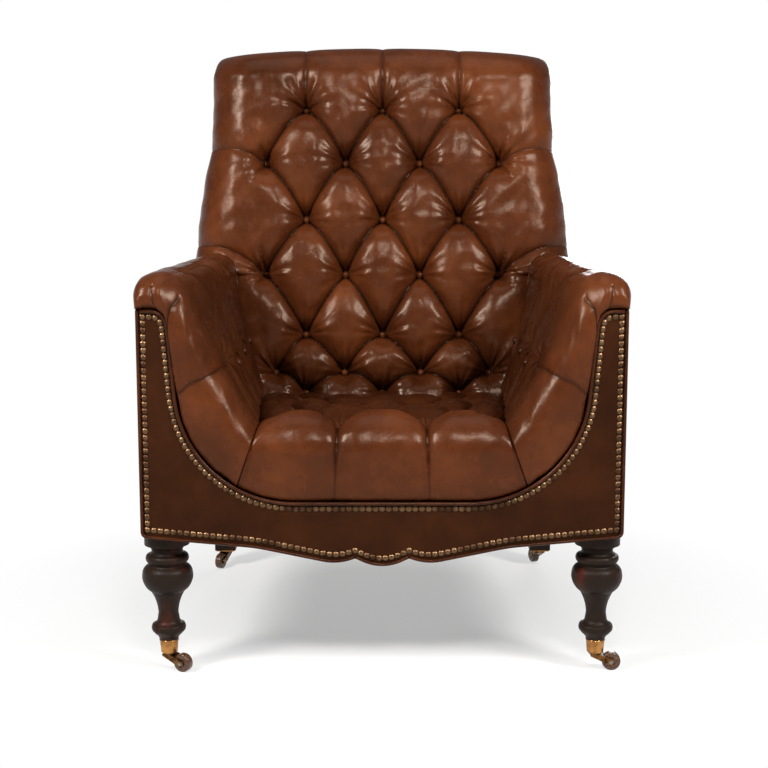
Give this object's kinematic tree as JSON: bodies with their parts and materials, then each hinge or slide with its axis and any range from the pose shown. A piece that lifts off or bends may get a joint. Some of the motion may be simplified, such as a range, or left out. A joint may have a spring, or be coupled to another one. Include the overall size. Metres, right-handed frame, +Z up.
{
  "type": "club chair",
  "caption": "Deep-buttoned leather club chair with a raked back, scooped nailed front, turned front legs, raked rear legs and swivelling casters.",
  "frame": {"origin": "on the floor under the middle of the chair's bounding box", "axes": "+Z up, +X to the right as seen from the front, the chair faces -Y"},
  "size_m": [0.7989, 0.8496, 1.075],
  "materials": {
    "cover_leather": "glossy aniline",
    "pad_leather": "glossy aniline",
    "piping_leather": "glossy aniline",
    "button_leather": "glossy aniline",
    "nail_brass": "antiqued",
    "frame_hardwood": "bare",
    "leg_wood": "ebonised, rubbed",
    "webbing": "woven jute",
    "canvas": "woven",
    "spring_steel": "satin",
    "cup_brass": "polished, worn",
    "caster_steel": "satin",
    "horn_bronze": "aged",
    "wheel_composition": "worn"
  },
  "bodies": {
    "chair": {"arm_buttons_left": "button_leather", "arm_buttons_right": "button_leather", "arm_pad_left": "pad_leather", "arm_pad_right": "pad_leather", "arm_post_left": "frame_hardwood", "arm_post_right": "frame_hardwood", "arm_rail_left": "frame_hardwood", "arm_rail_right": "frame_hardwood", "back_buttons": "button_leather", "back_pad": "pad_leather", "back_tacking_rail": "frame_hardwood", "back_webbing": "webbing", "caster_cup_left": "cup_brass", "caster_cup_right": "cup_brass", "caster_plate_left": "cup_brass", "caster_plate_right": "cup_brass", "corner_blocks": "frame_hardwood", "crest_rail": "frame_hardwood", "dust_cover": "canvas", "edge_welt": "piping_leather", "front_facing": "cover_leather", "front_leg_left": "leg_wood", "front_leg_right": "leg_wood", "nails_bottom": "nail_brass", "nails_left": "nail_brass", "nails_opening": "nail_brass", "nails_right": "nail_brass", "opening_welt": "piping_leather", "outside_arm_left": "cover_leather", "outside_arm_right": "cover_leather", "outside_back": "cover_leather", "plate_screws": "caster_steel", "rear_leg_left": "leg_wood", "rear_leg_right": "leg_wood", "seat_buttons": "button_leather", "seat_pad": "pad_leather", "seat_rail_front": "frame_hardwood", "seat_rail_left": "frame_hardwood", "seat_rail_rear": "frame_hardwood", "seat_rail_right": "frame_hardwood", "seat_springs": "spring_steel", "seat_webbing": "webbing", "spring_canvas": "canvas"},
    "caster_front_left": {"caster_horn_front_left": "horn_bronze", "caster_axle_front_left": "caster_steel"},
    "wheel_front_left": {"caster_wheel_front_left": "wheel_composition"},
    "caster_front_right": {"caster_horn_front_right": "horn_bronze", "caster_axle_front_right": "caster_steel"},
    "wheel_front_right": {"caster_wheel_front_right": "wheel_composition"},
    "caster_rear_left": {"caster_horn_rear_left": "horn_bronze", "caster_axle_rear_left": "caster_steel"},
    "wheel_rear_left": {"caster_wheel_rear_left": "wheel_composition"},
    "caster_rear_right": {"caster_horn_rear_right": "horn_bronze", "caster_axle_rear_right": "caster_steel"},
    "wheel_rear_right": {"caster_wheel_rear_right": "wheel_composition"}
  },
  "joints": [
    {"name": "swivel_front_left", "type": "hinge", "parent": "chair", "child": "caster_front_left", "pos_m": [-0.357, -0.36677, 0.03], "axis": [0, 0, 1], "continuous": true},
    {"name": "spin_front_left", "type": "hinge", "parent": "caster_front_left", "child": "wheel_front_left", "pos_m": [-0.33253, -0.37818, 0.0155], "axis": [0.4226, 0.9063, 0], "continuous": true},
    {"name": "swivel_front_right", "type": "hinge", "parent": "chair", "child": "caster_front_right", "pos_m": [0.357, -0.36677, 0.03], "axis": [0, 0, 1], "continuous": true},
    {"name": "spin_front_right", "type": "hinge", "parent": "caster_front_right", "child": "wheel_front_right", "pos_m": [0.38393, -0.36865, 0.0155], "axis": [0.0698, 0.9976, 0], "continuous": true},
    {"name": "swivel_rear_left", "type": "hinge", "parent": "chair", "child": "caster_rear_left", "pos_m": [-0.332, 0.27723, 0.03], "axis": [0, 0, 1], "continuous": true},
    {"name": "spin_rear_left", "type": "hinge", "parent": "caster_rear_left", "child": "wheel_rear_left", "pos_m": [-0.34124, 0.25186, 0.0155], "axis": [0.9397, -0.342, 0], "continuous": true},
    {"name": "swivel_rear_right", "type": "hinge", "parent": "chair", "child": "caster_rear_right", "pos_m": [0.332, 0.27723, 0.03], "axis": [0, 0, 1], "continuous": true},
    {"name": "spin_rear_right", "type": "hinge", "parent": "caster_rear_right", "child": "wheel_rear_right", "pos_m": [0.32411, 0.30305, 0.0155], "axis": [-0.9563, -0.2924, 0], "continuous": true}
  ]
}
